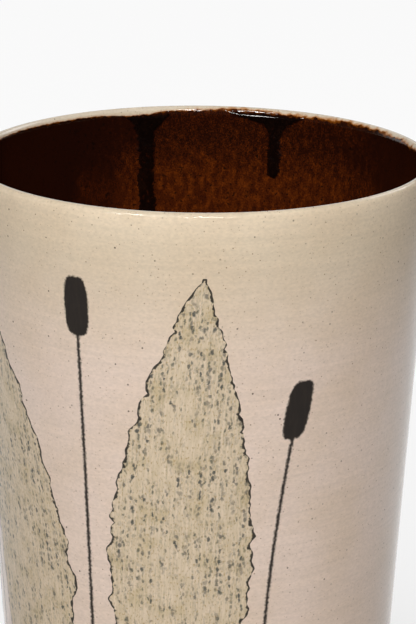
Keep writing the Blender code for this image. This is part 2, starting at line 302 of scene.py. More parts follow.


# Tenmoku: an iron glaze, poured inside. It gives near-black where it is thick, and breaks to a
# grainy rust where it is thin. Its edge on the lip is ragged, and it stains the cream beside it.
# Its thin side is set where light falls inside, so the rust there is partly painted light, and the
# dark round the far side is partly painted shade.
tenmoku = {
    "thick": "#0B0504",
    "thickGrain": "#1C110B",
    "deep": "#240D06",
    "brown": "#411907",
    "rust": "#6E320C",
    # the thin, rusty glaze is centred where light falls inside: partly real, it also paints that light, and
    # the dark far side partly paints shade
    "thinAndLitSide": 164.0,  # degrees round the wall to the middle of the thin glaze
    "thinFrom": 0.58,  # cosines of the angle from there
    "thinTo": 1.00,
    "lowerDrops": (8.0, 38.0),  # below the rim, between which the thin glaze widens and its grain calms
    "lowerWidening": 0.10,
    "lowerGrain": 0.5,
    "deepDrops": (45.0, 90.0),  # below the rim, between which the glaze grows thin all round
    "deepThin": 0.75,
    "grainSize": (0.55, 0.55, 0.65),
    "grain": 0.34,
    "grainHeight": 0.02,
    "mottleSize": (2.0, 2.0, 3.6),
    "mottle": 0.20,
    "cloudSize": 14.0,
    "cloud": 0.10,
    "speckled": 0.18,  # share of grain and mottle that the dark glaze has too
    "amounts": [  # depth below the rim, and how rusty
        (1, 0.45),
        (4, 0.27),
        (12, 0.27),
        (20, 0.44),
        (27, 0.54),
        (36, 0.58),
    ],
    "edgeDepths": [  # across the vase, and down from the top of the lip
        (-75, 1.70),
        (-50, 1.80),
        (-35, 2.30),
        (-27, 2.70),
        (-17, 2.10),
        (-8, 1.45),
        (3, 1.20),
        (15, 0.72),
        (35, 1.35),
        (52, 1.00),
        (62, 0.85),
        (72, 1.20),
        (80, 1.50),
    ],
    "edgeBlur": (-0.12, 0.08),  # across the edge, from cream to tenmoku
    "sides": (-20.0, 25.0),  # across the vase, the left and the right of the next three pairs
    "ragged": (0.24, 0.60),
    "lineWidths": (0.55, 0.90),
    "stainStrengths": (0.30, 0.85),
    "raggedSize": 2.8,
    "edgeLine": "#8C4C10",
    "lineStrength": 0.9,
    "lineBreakSize": 2.2,
    "lineBreaks": (-0.3, 2.0),  # times its width
    "thinnestLine": 0.05,
    "stain": "#C4803A",
    "stainWidth": 0.9,
    "stainEnd": (1.0, 1.5),  # below the edge
    "stainFade": (-0.3, 0.7),  # outwards from the middle of the lip
    "runEdge": (0.10, 0.42),  # depths of glaze between which a run turns black
    "runStrength": 0.96,
    "runSpeckled": 0.5,
    "frayedSize": 1.4,  # of the edges of a run
    "frayed": 0.3,
    "roughness": 0.09,
    "ior": 1.55,
}


def addDepthBelowEdge(tree, place):
    # how far a point lies below the ragged upper edge of the tenmoku and below the lip's top,
    # and how far round to the right it is
    parts = addNode(tree, "ShaderNodeSeparateXYZ", [place])
    across = parts.outputs["X"]
    drop = addNode(tree, "ShaderNodeMath", [rimTop, parts.outputs["Z"]], operation="SUBTRACT")
    edge = addCurve(tree, across, tenmoku["edgeDepths"])
    right = addNode(tree, "ShaderNodeMapRange", [across, *tenmoku["sides"], 0.0, 1.0], **smoothStep)
    ragged = addNode(tree, "ShaderNodeMapRange", [right, 0.0, 1.0, *tenmoku["ragged"]])
    fray = addCloud(tree, place, tenmoku["raggedSize"], 5.0, -1.0, 1.0)
    edge = addNode(tree, "ShaderNodeMath", [fray, ragged, edge], operation="MULTIPLY_ADD")
    below = addNode(tree, "ShaderNodeMath", [drop, edge], operation="SUBTRACT")
    return below, drop, right


def addStainedCream(tree, place, below, right):
    # iron from the tenmoku tints the cream just above it, on the inner half of the lip
    colour, roughness, height = addCreamGlaze(tree, place)
    fade = [rimMiddle + offset for offset in tenmoku["stainFade"]]
    inner = addNode(tree, "ShaderNodeMapRange", [addRadius(tree, place), *fade, 1.0, 0.0], **smoothStep)
    strength = addNode(tree, "ShaderNodeMapRange", [right, 0.0, 1.0, *tenmoku["stainStrengths"]])
    inner = addNode(tree, "ShaderNodeMath", [inner, strength], operation="MULTIPLY")
    near = addNode(tree, "ShaderNodeMapRange", [below, -tenmoku["stainWidth"], 0.0, 0.0, 1.0], **smoothStep)
    end = addNode(tree, "ShaderNodeMapRange", [below, *tenmoku["stainEnd"], 1.0, 0.0], **smoothStep)
    near = addNode(tree, "ShaderNodeMath", [near, end], operation="MULTIPLY")
    stain = addNode(tree, "ShaderNodeMath", [near, inner], operation="MULTIPLY")
    colour = addNode(tree, "ShaderNodeMix", [stain, colour, tenmoku["stain"]], **colourMix)
    return colour, roughness, height


def makeCreamGlaze():
    material, tree = newMaterial("speckledCreamGlaze")
    place = addMillimetres(tree)
    below, _, right = addDepthBelowEdge(tree, place)
    addSurface(tree, *addStainedCream(tree, place, below, right), creamGlaze["ior"])
    return material


def addTenmoku(tree, place, below, drop, right):
    # the thin side is put where light falls inside, so its rust partly paints that light and the dark beyond
    # it partly paints shade
    side = math.radians(tenmoku["thinAndLitSide"])
    flat = addNode(tree, "ShaderNodeVectorMath", [place, (1.0, 1.0, 0.0)], operation="MULTIPLY")
    flat = addNode(tree, "ShaderNodeVectorMath", [flat], operation="NORMALIZE")
    toSide = (math.sin(side), -math.cos(side), 0.0)
    turn = addNode(tree, "ShaderNodeVectorMath", [flat, toSide], operation="DOT_PRODUCT").outputs["Value"]
    lower = addNode(tree, "ShaderNodeMapRange", [drop, *tenmoku["lowerDrops"], 0.0, 1.0], **smoothStep)
    cloud = addCloud(tree, place, tenmoku["cloudSize"], 3.0, -tenmoku["cloud"], tenmoku["cloud"])
    turn = addNode(tree, "ShaderNodeMath", [turn, cloud], operation="ADD")
    turn = addNode(tree, "ShaderNodeMath", [lower, tenmoku["lowerWidening"], turn], operation="MULTIPLY_ADD")
    thin = [turn, tenmoku["thinFrom"], tenmoku["thinTo"], 0.0, 1.0]
    thin = addNode(tree, "ShaderNodeMapRange", thin, **smoothStep)
    inDepth = [drop, *tenmoku["deepDrops"], 0.0, tenmoku["deepThin"]]
    inDepth = addNode(tree, "ShaderNodeMapRange", inDepth, **smoothStep)
    thin = addNode(tree, "ShaderNodeMath", [thin, inDepth], operation="MAXIMUM")

    grain = addCloud(tree, place, tenmoku["grainSize"], 3.0, -tenmoku["grain"], tenmoku["grain"])
    calm = addNode(tree, "ShaderNodeMapRange", [lower, 0.0, 1.0, 1.0, tenmoku["lowerGrain"]])
    grain = addNode(tree, "ShaderNodeMath", [grain, calm], operation="MULTIPLY")
    mottle = addCloud(tree, place, tenmoku["mottleSize"], 2.0, -tenmoku["mottle"], tenmoku["mottle"])
    speckle = addNode(tree, "ShaderNodeMath", [grain, mottle], operation="ADD")
    amount = [addCurve(tree, drop, tenmoku["amounts"]), speckle]
    amount = addNode(tree, "ShaderNodeMath", amount, operation="ADD")
    amount = addNode(tree, "ShaderNodeMath", [amount, thin], operation="MULTIPLY")
    amount = addNode(tree, "ShaderNodeMath", [speckle, tenmoku["speckled"], amount], operation="MULTIPLY_ADD")
    colour = tenmoku["deep"]
    for name, start, end in (("brown", 0.0, 0.5), ("rust", 0.4, 1.0)):
        share = addNode(tree, "ShaderNodeMapRange", [amount, start, end, 0.0, 1.0], **smoothStep)
        colour = addNode(tree, "ShaderNodeMix", [share, colour, tenmoku[name]], **colourMix)

    run = addNode(tree, "ShaderNodeAttribute", attribute_name="glazeDepth").outputs["Fac"]
    run = addNode(tree, "ShaderNodeMath", [speckle, tenmoku["runSpeckled"], run], operation="MULTIPLY_ADD")
    fray = addCloud(tree, place, tenmoku["frayedSize"], 3.0, -tenmoku["frayed"], tenmoku["frayed"])
    run = addNode(tree, "ShaderNodeMath", [run, fray], operation="ADD")
    run = [run, *tenmoku["runEdge"], 0.0, tenmoku["runStrength"]]
    run = addNode(tree, "ShaderNodeMapRange", run, **smoothStep)
    dark = addNode(tree, "ShaderNodeMapRange", [speckle, 0.0, 0.7, 0.0, 1.0])
    dark = addNode(tree, "ShaderNodeMix", [dark, tenmoku["thick"], tenmoku["thickGrain"]], **colourMix)
    colour = addNode(tree, "ShaderNodeMix", [run, colour, dark], **colourMix)

    width = addNode(tree, "ShaderNodeMapRange", [right, 0.0, 1.0, *tenmoku["lineWidths"]])
    breaks = addCloud(tree, place, tenmoku["lineBreakSize"], 3.0, *tenmoku["lineBreaks"])
    width = addNode(tree, "ShaderNodeMath", [width, breaks], operation="MULTIPLY")
    width = addNode(tree, "ShaderNodeMath", [width, tenmoku["thinnestLine"]], operation="MAXIMUM")
    line = addNode(tree, "ShaderNodeMath", [below, width], operation="DIVIDE")
    line = addNode(tree, "ShaderNodeMapRange", [line, 0.0, 1.0, tenmoku["lineStrength"], 0.0], **smoothStep)
    colour = addNode(tree, "ShaderNodeMix", [line, colour, tenmoku["edgeLine"]], **colourMix)
    height = [grain, tenmoku["grainHeight"], addPeel(tree, place)]
    return colour, addNode(tree, "ShaderNodeMath", height, operation="MULTIPLY_ADD")


def makeTenmoku(name):
    material, tree = newMaterial(name)
    place = addMillimetres(tree)
    below, drop, right = addDepthBelowEdge(tree, place)
    colour, height = addTenmoku(tree, place, below, drop, right)
    creamColour, creamRoughness, creamHeight = addStainedCream(tree, place, below, right)
    bare = addNode(tree, "ShaderNodeMapRange", [below, *tenmoku["edgeBlur"], 1.0, 0.0], **smoothStep)
    colour = addNode(tree, "ShaderNodeMix", [bare, colour, creamColour], **colourMix)
    roughness = addNode(tree, "ShaderNodeMix", [bare, tenmoku["roughness"], creamRoughness])
    height = addNode(tree, "ShaderNodeMix", [bare, height, creamHeight])
    addSurface(tree, colour, roughness, height, tenmoku["ior"])
    return material


# Cloth-pressed slip: slip laid on with a coarse cloth and torn away at the edge. It gives a dull
# straw colour with the cloth's threads as strings of blue-green flecks, and a black torn edge.
clothSlip = {
    "straw": "#CBBB9F",
    "pale": "#DDCDB8",
    "streakSize": (0.8, 8.0, 1.0),
    "streakHeight": 0.012,
    "shade": "#BBA97F",
    "shadeSize": 9.0,
    "shades": (-0.5, 0.55),
    "threadSize": (0.45, 5.0, 1.0),
    "thread": 0.05,  # share of the brightness
    "ochre": "#A58A58",
    "fibreSize": (0.6, 1.2, 1.0),
    "fibres": (-1.4, 0.8),
    "fleck": "#3A463F",
    "fleckBlue": "#27333A",
    "flecks": [  # thread spacing, spacing along the thread, half width, half length, strength
        (3.90, 2.05, 0.58, 1.15, 0.88),
        (1.95, 1.85, 0.42, 0.88, 0.76),
        (0.98, 1.45, 0.28, 0.72, 0.26),
    ],
    "fleckCentres": (0.38, 0.62),  # share of the thread spacing
    "wanderSize": 3.0,
    "wander": 0.38,  # how far a thread strays sideways
    "raggedSize": 0.5,  # of a fleck's outline
    "ragged": 0.35,
    "fleckEdge": (0.1, 1.45),
    "coverSize": 18.0,
    "cover": 0.12,
    "stretchesPerMm": 0.10,  # along a thread, of its printed and bare stretches
    "stretchEdge": (0.42, 0.56),
    "faintest": 0.1,  # strength of the least printed fleck
    "hemDistance": 4.7,  # a doubled thread runs this far inside the edge
    "hemWidth": 0.9,
    "hemCover": 0.4,
    "edge": "#120E0B",
    "edgeSize": 2.2,
    "edgeWidth": 0.70,
    "edgeStrength": 0.95,
    "roughness": 0.34,
    "ior": 1.5,
}


def addFlecks(tree, cloth, order, spacing, along, halfWidth, halfLength):
    # flecks strung on upright threads; the odd number gives each thread its own places
    parts = addNode(tree, "ShaderNodeSeparateXYZ", [cloth])
    stray = addCloud(tree, cloth, clothSlip["wanderSize"], 1.0, -clothSlip["wander"], clothSlip["wander"])
    across = addNode(tree, "ShaderNodeMath", [parts.outputs["X"], stray], operation="ADD")
    across = addNode(tree, "ShaderNodeMath", [across, spacing], operation="DIVIDE")
    thread = addNode(tree, "ShaderNodeMath", [across], operation="FLOOR")
    within = addNode(tree, "ShaderNodeMath", [across], operation="FRACT")
    string = addNode(tree, "ShaderNodeMath", [parts.outputs["Y"], along], operation="DIVIDE")
    string = addNode(tree, "ShaderNodeMath", [thread, 37.7 + order, string], operation="MULTIPLY_ADD")
    knots = addNode(tree, "ShaderNodeTexVoronoi", {"W": string, "Scale": 1.0}, voronoi_dimensions="1D")
    chance = addNode(tree, "ShaderNodeSeparateColor", [knots.outputs["Color"]])
    centre = [chance.outputs["Red"], 0.0, 1.0, *clothSlip["fleckCentres"]]
    centre = addNode(tree, "ShaderNodeMapRange", centre)
    side = addNode(tree, "ShaderNodeMath", [within, centre], operation="SUBTRACT")
    side = addNode(tree, "ShaderNodeMath", [side, spacing / halfWidth], operation="MULTIPLY")
    side = addNode(tree, "ShaderNodeMath", [side, 2.0], operation="POWER")
    end = [knots.outputs["Distance"], along / halfLength]
    end = addNode(tree, "ShaderNodeMath", end, operation="MULTIPLY")
    end = addNode(tree, "ShaderNodeMath", [end, 2.0], operation="POWER")
    away = addNode(tree, "ShaderNodeMath", [side, end], operation="ADD")
    ragged = addCloud(tree, cloth, clothSlip["raggedSize"], 2.0, -clothSlip["ragged"], clothSlip["ragged"])
    away = addNode(tree, "ShaderNodeMath", [away, ragged], operation="ADD")
    fleck = addNode(tree, "ShaderNodeMapRange", [away, *clothSlip["fleckEdge"], 1.0, 0.0], **smoothStep)
    return fleck, chance.outputs["Green"], thread


def makeClothSlip():
    material, tree = newMaterial("clothPressedSlip")
    cloth = addNode(tree, "ShaderNodeAttribute", attribute_name="cloth").outputs["Vector"]
    fromEdge = addNode(tree, "ShaderNodeAttribute", attribute_name="fromEdge").outputs["Fac"]
    streak = addCloud(tree, cloth, clothSlip["streakSize"], 3.0, 0.0, 1.0)
    colour = addNode(tree, "ShaderNodeMix", [streak, clothSlip["straw"], clothSlip["pale"]], **colourMix)
    shade = addCloud(tree, cloth, clothSlip["shadeSize"], 4.0, *clothSlip["shades"])
    colour = addNode(tree, "ShaderNodeMix", [shade, colour, clothSlip["shade"]], **colourMix)
    thread = 1 - clothSlip["thread"], 1 + clothSlip["thread"]
    thread = addCloud(tree, cloth, clothSlip["threadSize"], 1.0, *thread)
    colour = addNode(tree, "ShaderNodeVectorMath", [colour, thread], operation="SCALE")
    fibre = addCloud(tree, cloth, clothSlip["fibreSize"], 3.0, *clothSlip["fibres"])
    colour = addNode(tree, "ShaderNodeMix", [fibre, colour, clothSlip["ochre"]], **colourMix)

    cover = addCloud(tree, cloth, clothSlip["coverSize"], 2.0, -clothSlip["cover"], clothSlip["cover"])
    hem = addNode(tree, "ShaderNodeMath", [fromEdge, clothSlip["hemDistance"]], operation="SUBTRACT")
    hem = addNode(tree, "ShaderNodeMath", [hem], operation="ABSOLUTE")
    hem = [hem, 0.3 * clothSlip["hemWidth"], clothSlip["hemWidth"], clothSlip["hemCover"], 0.0]
    hem = addNode(tree, "ShaderNodeMapRange", hem, **smoothStep)
    for order, (spacing, along, halfWidth, halfLength, strength) in enumerate(clothSlip["flecks"]):
        fleck, chance, thread = addFlecks(tree, cloth, order, spacing, along, halfWidth, halfLength)
        stretch = addNode(tree, "ShaderNodeMath", [thread, 3.7], operation="MULTIPLY")
        stretch = addNode(tree, "ShaderNodeCombineXYZ", [stretch, None, None])
        stretch = [cloth, (0.0, clothSlip["stretchesPerMm"], 0.0), stretch]
        stretch = addNode(tree, "ShaderNodeVectorMath", stretch, operation="MULTIPLY_ADD")
        stretch = addNode(tree, "ShaderNodeTexNoise", {"Vector": stretch, "Scale": 1.0, "Detail": 1.0})
        for more in (cover, hem):
            stretch = addNode(tree, "ShaderNodeMath", [stretch, more], operation="ADD")
        stretch = [stretch, *clothSlip["stretchEdge"], 0.0, 1.0]
        stretch = addNode(tree, "ShaderNodeMapRange", stretch, **smoothStep)
        shown = addNode(tree, "ShaderNodeMapRange", [chance, 0.2, 0.8, clothSlip["faintest"], strength])
        for share in (stretch, shown):
            fleck = addNode(tree, "ShaderNodeMath", [fleck, share], operation="MULTIPLY")
        tint = clothSlip["fleckBlue" if order == 0 else "fleck"]
        colour = addNode(tree, "ShaderNodeMix", [fleck, colour, tint], **colourMix)

    widths = 0.1 * clothSlip["edgeWidth"], 2.0 * clothSlip["edgeWidth"]
    edge = addCloud(tree, cloth, clothSlip["edgeSize"], 2.0, *widths)
    edge = addNode(tree, "ShaderNodeMath", [edge, fromEdge], operation="SUBTRACT")
    edge = [edge, -0.30, 0.10, 0.0, clothSlip["edgeStrength"]]
    edge = addNode(tree, "ShaderNodeMapRange", edge, **smoothStep)
    colour = addNode(tree, "ShaderNodeMix", [edge, colour, clothSlip["edge"]], **colourMix)
    height = addNode(tree, "ShaderNodeMath", [streak, clothSlip["streakHeight"]], operation="MULTIPLY")
    addSurface(tree, colour, clothSlip["roughness"], height, clothSlip["ior"])
    return material


# Black iron oxide: brushed on under the clear top of the cream glaze. It gives a soft-edged,
# nearly black mark that is a little browner where the brush left it thin.
blackOxide = {
    "black": "#120A06",
    "thin": "#2A2019",
    "thinness": 0.55,
    "roughness": 0.30,
    "softEdge": 0.90,
    "fuzz": 0.38,  # how far the edge strays
    "fuzzPerMm": 1.1,
    "strokesPerMm": (0.9, 0.9, 0.16),
}


def makeBlackOxide(margin):
    material, tree = newMaterial("blackIronOxide")
    place = addMillimetres(tree)
    colour, roughness, height = addCreamGlaze(tree, place)
    fromEdge = addNode(tree, "ShaderNodeAttribute", attribute_name="fromEdge").outputs["Fac"]
    fuzz = {"Vector": place, "Scale": blackOxide["fuzzPerMm"], "Detail": 3.0, "Roughness": 0.6}
    fuzz = addNode(tree, "ShaderNodeTexNoise", fuzz)
    fuzz = addNode(tree, "ShaderNodeMapRange", [fuzz, 0.25, 0.75, -blackOxide["fuzz"], blackOxide["fuzz"]])
    inside = addNode(tree, "ShaderNodeMath", [fromEdge, fuzz], operation="ADD")
    soft = blackOxide["softEdge"] / 2
    cover = [inside, margin - soft, margin + soft, 0.0, 1.0]
    cover = addNode(tree, "ShaderNodeMapRange", cover, **smoothStep)
    brush = addNode(tree, "ShaderNodeVectorMath", [place, blackOxide["strokesPerMm"]], operation="MULTIPLY")
    brush = addNode(tree, "ShaderNodeTexNoise", {"Vector": brush, "Scale": 1.0, "Detail": 3.0})
    wash = addNode(tree, "ShaderNodeMapRange", [brush, 0.45, 0.75, 0.0, blackOxide["thinness"]])
    oxide = addNode(tree, "ShaderNodeMix", [wash, blackOxide["black"], blackOxide["thin"]], **colourMix)
    colour = addNode(tree, "ShaderNodeMix", [cover, colour, oxide], **colourMix)
    roughness = addNode(tree, "ShaderNodeMix", [cover, roughness, blackOxide["roughness"]])
    addSurface(tree, colour, roughness, height, creamGlaze["ior"])
    return material


# Bare stoneware: fired clay with fine sand in it, wiped clean of glaze. It gives a matt buff with
# dark and pale grains, toasted orange along the line where the glaze ends.
bareStoneware = {
    "buff": "#BFA484",
    "pale": "#D2BC9C",
    "grainSize": 0.6,
    "grainHeight": 0.12,
    "toasted": "#A8673A",
    "toastedFrom": 3.0,
    "toast": 0.8,
    "waveSize": 10.0,
    "wave": 1.5,
    "grit": "#5A4632",
    "gritSize": 1.4,
    "gritEdge": (0.10, 0.22),  # share of its size
    "gritStrength": 0.7,
    "roughness": 0.85,
    "ior": 1.5,
}


def makeBareStoneware():
    material, tree = newMaterial("bareStoneware")
    place = addMillimetres(tree)
    up = addNode(tree, "ShaderNodeSeparateXYZ", [place]).outputs["Z"]
    grain = {"Vector": place, "Scale": 1 / bareStoneware["grainSize"], "Detail": 3.0}
    grain = addNode(tree, "ShaderNodeTexNoise", grain)
    share = addNode(tree, "ShaderNodeMapRange", [grain, 0.35, 0.65, 0.0, 1.0])
    colour = [share, bareStoneware["buff"], bareStoneware["pale"]]
    colour = addNode(tree, "ShaderNodeMix", colour, **colourMix)
    stray = bareStoneware["wave"]
    wave = addCloud(tree, place, bareStoneware["waveSize"], 2.0, -stray, stray)
    near = addNode(tree, "ShaderNodeMath", [up, wave], operation="ADD")
    toast = [near, bareStoneware["toastedFrom"], vase["bareFoot"] / mm, 0.0, bareStoneware["toast"]]
    toast = addNode(tree, "ShaderNodeMapRange", toast, **smoothStep)
    colour = addNode(tree, "ShaderNodeMix", [toast, colour, bareStoneware["toasted"]], **colourMix)
    grit = addNode(tree, "ShaderNodeTexVoronoi", {"Vector": place, "Scale": 1 / bareStoneware["gritSize"]})
    spot = [grit.outputs["Distance"], *bareStoneware["gritEdge"], bareStoneware["gritStrength"], 0.0]
    spot = addNode(tree, "ShaderNodeMapRange", spot, **smoothStep)
    colour = addNode(tree, "ShaderNodeMix", [spot, colour, bareStoneware["grit"]], **colourMix)
    height = addNode(tree, "ShaderNodeMath", [grain, bareStoneware["grainHeight"]], operation="MULTIPLY")
    addSurface(tree, colour, bareStoneware["roughness"], height, bareStoneware["ior"])
    return material


# Marks that throwing left in the clay: faint rings up the wall, and a lip that isn't dead level.
# Every coat and patch follows them alike.
throwing = {
    "ringDepth": 0.00005,
    "ringPitch": 0.0065,
    "ringDrift": 0.11,  # a ring keeps its shape for about this far round
    "lipDip": 0.00012,
    "lipWave": 0.07,
    "lipReach": 0.035,
}


def addThrowingMarks(tree, place):
    size = (1 / throwing["ringDrift"], 1 / throwing["ringDrift"], 1 / throwing["ringPitch"])
    stretched = addNode(tree, "ShaderNodeVectorMath", [place, size], operation="MULTIPLY")
    rings = addNode(tree, "ShaderNodeTexNoise", {"Vector": stretched, "Scale": 1.0, "Detail": 1.5})
    depth = addNode(tree, "ShaderNodeMath", [rings, -throwing["ringDepth"]], operation="MULTIPLY")
    flat = addNode(tree, "ShaderNodeVectorMath", [place, (1.0, 1.0, 0.0)], operation="MULTIPLY")
    outward = addNode(tree, "ShaderNodeVectorMath", [flat], operation="NORMALIZE")
    inward = addNode(tree, "ShaderNodeVectorMath", [outward, depth], operation="SCALE")
    wave = {"Vector": flat, "Scale": 1 / throwing["lipWave"], "Detail": 1.0}
    wave = addNode(tree, "ShaderNodeTexNoise", wave)
    up = addNode(tree, "ShaderNodeSeparateXYZ", [place]).outputs["Z"]
    near = [up, vase["height"] - throwing["lipReach"], vase["height"], 0.0, -throwing["lipDip"]]
    near = addNode(tree, "ShaderNodeMapRange", near, **smoothStep)
    dip = addNode(tree, "ShaderNodeMath", [wave, near], operation="MULTIPLY")
    dip = addNode(tree, "ShaderNodeCombineXYZ", [None, None, dip])
    return addNode(tree, "ShaderNodeVectorMath", [inward, dip], operation="ADD")


def newGeometryTree(name, inputs):
    tree = bpy.data.node_groups.new(name, "GeometryNodeTree")
    tree.interface.new_socket("Geometry", in_out="INPUT", socket_type="NodeSocketGeometry")
    tree.interface.new_socket("Geometry", in_out="OUTPUT", socket_type="NodeSocketGeometry")
    for label, kind in inputs.items():
        tree.interface.new_socket(label, in_out="INPUT", socket_type="NodeSocket" + kind)
    return tree, addNode(tree, "NodeGroupInput").outputs


def addGrid(tree, rows, columns):
    # a grid, with the row and the column that each of its points stands in
    grid = addNode(tree, "GeometryNodeMeshGrid", {"Vertices X": rows, "Vertices Y": columns})
    index = addNode(tree, "GeometryNodeInputIndex")
    row = addNode(tree, "FunctionNodeIntegerMath", [index, columns], operation="DIVIDE_FLOOR")
    column = addNode(tree, "FunctionNodeIntegerMath", [index, columns], operation="MODULO")
    return grid, row, column


def finishForm(tree, form, place, material):
    form = addNode(tree, "GeometryNodeMergeByDistance", {"Geometry": form, "Distance": 0.001 * mm})
    form = addNode(tree, "GeometryNodeFlipFaces", [form])
    marks = addThrowingMarks(tree, place)
    form = addNode(tree, "GeometryNodeSetPosition", {"Geometry": form, "Offset": marks})
    form = addNode(tree, "GeometryNodeSetShadeSmooth", [form])
    form = addNode(tree, "GeometryNodeRealizeInstances", [form])
    form = addNode(tree, "GeometryNodeSetMaterial", {"Geometry": form, "Material": material})
    addNode(tree, "NodeGroupOutput", [form])


def makeTurnedTree():
    # turns a guide's points, read as a profile of (radius, 0, height), round the Z axis
    tree, given = newGeometryTree("turnedForm", {"Rows": "Int", "Steps": "Int", "Material": "Material"})
    columns = addNode(tree, "FunctionNodeIntegerMath", [given["Steps"], 1], operation="ADD")
    grid, row, column = addGrid(tree, given["Rows"], columns)
    count = addNode(tree, "GeometryNodeAttributeDomainSize", [given["Geometry"]])
    ring = addNode(tree, "FunctionNodeIntegerMath", [row, count], operation="MODULO")
    place = addNode(tree, "GeometryNodeInputPosition")
    point = [given["Geometry"], place, ring]
    point = addNode(tree, "GeometryNodeSampleIndex", point, data_type="FLOAT_VECTOR")
    turn = addNode(tree, "ShaderNodeMath", [column, given["Steps"]], operation="DIVIDE")
    turn = addNode(tree, "ShaderNodeMath", [turn, math.tau], operation="MULTIPLY")
    turned = addNode(tree, "ShaderNodeVectorRotate", {"Vector": point, "Angle": turn}, rotation_type="Z_AXIS")
    form = addNode(tree, "GeometryNodeSetPosition", {"Geometry": grid, "Position": turned})
    finishForm(tree, form, place, given["Material"])
    return tree


def makePatchTree():
    # Patches that follow the wall. A guide's points hold the angle of a row's middle, its half angle
    # and its height, and two attributes the wall's radius there and how far the patch stands proud.
    inputs = {
        "Rows": "Int",
        "Columns": "Int",
        "Facing": "Float",  # 1 on the outside of the wall, and -1 on the inside
        "Rise": "Float",  # distance from the edge over which the patch rises
        "Sink": "Float",
        "Backing": "Float",
        "Torn Depth": "Float",
        "Torn Length": "Float",
        "Wobble": "Float",
        "Wobble Size": "Float",
        "Relief": "Float",
        "Thread Pitch": "Float",
        "Seed": "Float",
        "Material": "Material",
    }
    tree, given = newGeometryTree("wallPatch", inputs)
    grid, row, column = addGrid(tree, given["Rows"], given["Columns"])
    place = addNode(tree, "GeometryNodeInputPosition")
    guide = [given["Geometry"], place, row]
    guide = addNode(tree, "GeometryNodeSampleIndex", guide, data_type="FLOAT_VECTOR")
    guide = addNode(tree, "ShaderNodeSeparateXYZ", [guide])
    middle, halfAngle, up = (guide.outputs[axis] for axis in "XYZ")
    wall = addNode(tree, "GeometryNodeInputNamedAttribute", ["wallRadius"], data_type="FLOAT")
    wall = addNode(tree, "GeometryNodeSampleIndex", [given["Geometry"], wall, row], data_type="FLOAT")
    proud = addNode(tree, "GeometryNodeInputNamedAttribute", ["proud"], data_type="FLOAT")
    proud = addNode(tree, "GeometryNodeSampleIndex", [given["Geometry"], proud, row], data_type="FLOAT")

    # across runs from -1 at one edge to 1 at the other, and each edge is torn its own way, in
    # rounded bulges that meet in notches
    last = addNode(tree, "FunctionNodeIntegerMath", [given["Columns"], 1], operation="SUBTRACT")
    across = addNode(tree, "ShaderNodeMath", [column, last], operation="DIVIDE")
    across = addNode(tree, "ShaderNodeMapRange", [across, 0.0, 1.0, -1.0, 1.0])
    side = addNode(tree, "ShaderNodeMath", [across], operation="SIGN")
    side = addNode(tree, "ShaderNodeMath", [side, 3.3, given["Seed"]], operation="MULTIPLY_ADD")
    along = addNode(tree, "ShaderNodeMath", [up, given["Torn Length"]], operation="DIVIDE")
    tear = addNode(tree, "ShaderNodeCombineXYZ", [side, along, given["Seed"]])
    tear = addCloud(tree, tear, 1.0, 2.0, -1.0, 1.0)
    tear = addNode(tree, "ShaderNodeMath", [tear], operation="ABSOLUTE")
    tear = addNode(tree, "ShaderNodeMath", [tear, 2.0, -0.7], operation="MULTIPLY_ADD")
    tear = addNode(tree, "ShaderNodeMath", [tear, given["Torn Depth"]], operation="MULTIPLY")
    tear = addNode(tree, "ShaderNodeMath", [tear, wall], operation="DIVIDE")
    for limit, operation in ((0.25, "MINIMUM"), (-0.25, "MAXIMUM")):
        most = addNode(tree, "ShaderNodeMath", [halfAngle, limit], operation="MULTIPLY")
        tear = addNode(tree, "ShaderNodeMath", [tear, most], operation=operation)
    half = addNode(tree, "ShaderNodeMath", [halfAngle, tear], operation="ADD")
    offset = addNode(tree, "ShaderNodeMath", [half, across], operation="MULTIPLY")
    angle = addNode(tree, "ShaderNodeMath", [middle, offset], operation="ADD")

    sine = addNode(tree, "ShaderNodeMath", [angle], operation="SINE")
    cosine = addNode(tree, "ShaderNodeMath", [angle], operation="COSINE")
    cosine = addNode(tree, "ShaderNodeMath", [cosine, -1.0], operation="MULTIPLY")
    outward = addNode(tree, "ShaderNodeCombineXYZ", [sine, cosine, None])
    onWall = addNode(tree, "ShaderNodeVectorMath", [outward, wall], operation="SCALE")
    height = addNode(tree, "ShaderNodeCombineXYZ", [None, None, up])
    onWall = addNode(tree, "ShaderNodeVectorMath", [onWall, height], operation="ADD")
    sheet = addNode(tree, "GeometryNodeSetPosition", {"Geometry": grid, "Position": onWall})

    # small waves up and down in the outline, which stop below the lip
    size = addNode(tree, "ShaderNodeMath", [1.0, given["Wobble Size"]], operation="DIVIDE")
    wobble = {"Vector": place, "Scale": size, "Detail": 2.0}
    wobble = addNode(tree, "ShaderNodeTexNoise", wobble).outputs["Color"]
    wobble = addNode(tree, "ShaderNodeVectorMath", [wobble, (0.5, 0.5, 0.5)], operation="SUBTRACT")
    belowLip = [up, innerLipHeight - 3 * mm, innerLipHeight, 1.0, 0.0]
    belowLip = addNode(tree, "ShaderNodeMapRange", belowLip, **smoothStep)
    for amount in (given["Wobble"], belowLip):
        wobble = addNode(tree, "ShaderNodeVectorMath", [wobble, amount], operation="SCALE")
    wobble = addNode(tree, "ShaderNodeVectorMath", [wobble, (0.0, 0.0, 1.0)], operation="MULTIPLY")
    sheet = addNode(tree, "GeometryNodeSetPosition", {"Geometry": sheet, "Offset": wobble})

